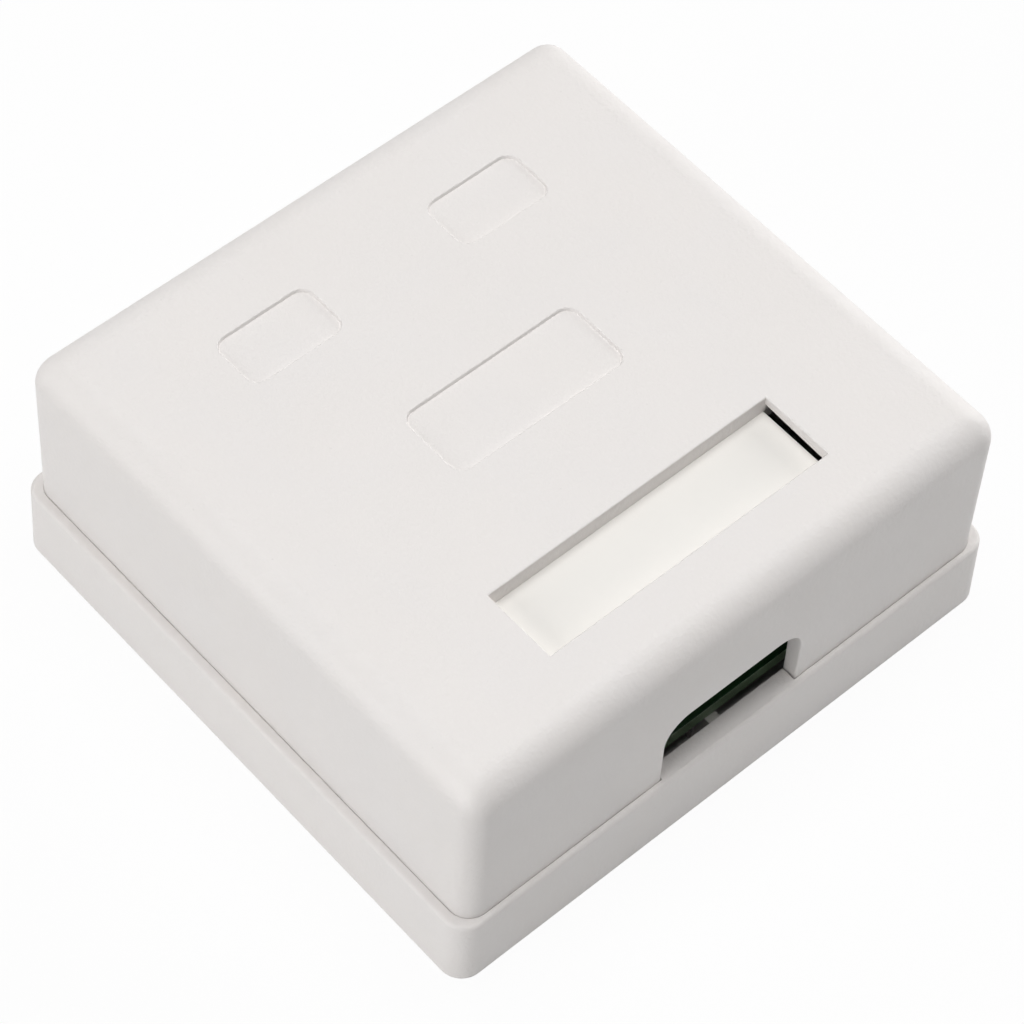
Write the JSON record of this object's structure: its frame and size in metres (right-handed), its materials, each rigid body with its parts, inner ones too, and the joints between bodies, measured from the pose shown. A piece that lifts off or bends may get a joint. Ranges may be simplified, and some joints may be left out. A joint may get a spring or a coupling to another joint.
{
  "type": "surface mount jack box",
  "caption": "Wall box for modular data jacks: open tray, clip-on cover with label recess, circuit board with jacks and punch-down terminals, and a cable entry in the side.",
  "frame": {"origin": "middle of the flat back face that goes against the wall", "axes": "+Z out of the wall, +X along the longer side, +Y towards the cable entry, so the jack mouths open towards -Y"},
  "size_m": [0.065, 0.0622, 0.0275],
  "materials": {
    "tray_plastic": "moulded, fine matt grain, warm white",
    "cover_plastic": "moulded, fine matt grain, warm white",
    "label_paper": "plain white card",
    "board_laminate": "green solder mask on glass-fibre laminate",
    "jack_plastic": "moulded, satin, warm white",
    "insert_plastic": "moulded, black",
    "contact_gold": "gold-plated spring wire",
    "terminal_plastic": "moulded, satin, warm white",
    "contact_tin": "tin-plated bronze"
  },
  "bodies": {
    "base_assembly": {"base_tray": "tray_plastic", "circuit_board": "board_laminate", "jack_housing_left": "jack_plastic", "jack_insert_left": "insert_plastic", "jack_contacts_left": "contact_gold", "terminal_block_left_front": "terminal_plastic", "terminal_contacts_left_front": "contact_tin", "terminal_block_left_rear": "terminal_plastic", "terminal_contacts_left_rear": "contact_tin", "jack_housing_right": "jack_plastic", "jack_insert_right": "insert_plastic", "jack_contacts_right": "contact_gold", "terminal_block_right_front": "terminal_plastic", "terminal_contacts_right_front": "contact_tin", "terminal_block_right_rear": "terminal_plastic", "terminal_contacts_right_rear": "contact_tin"},
    "cover_assembly": {"cover": "cover_plastic", "label_card": "label_paper"}
  },
  "joints": [
    {"name": "cover_lift", "type": "slide", "parent": "base_assembly", "child": "cover_assembly", "axis": [0, 0, 1], "range_m": [0, 0.03]}
  ]
}
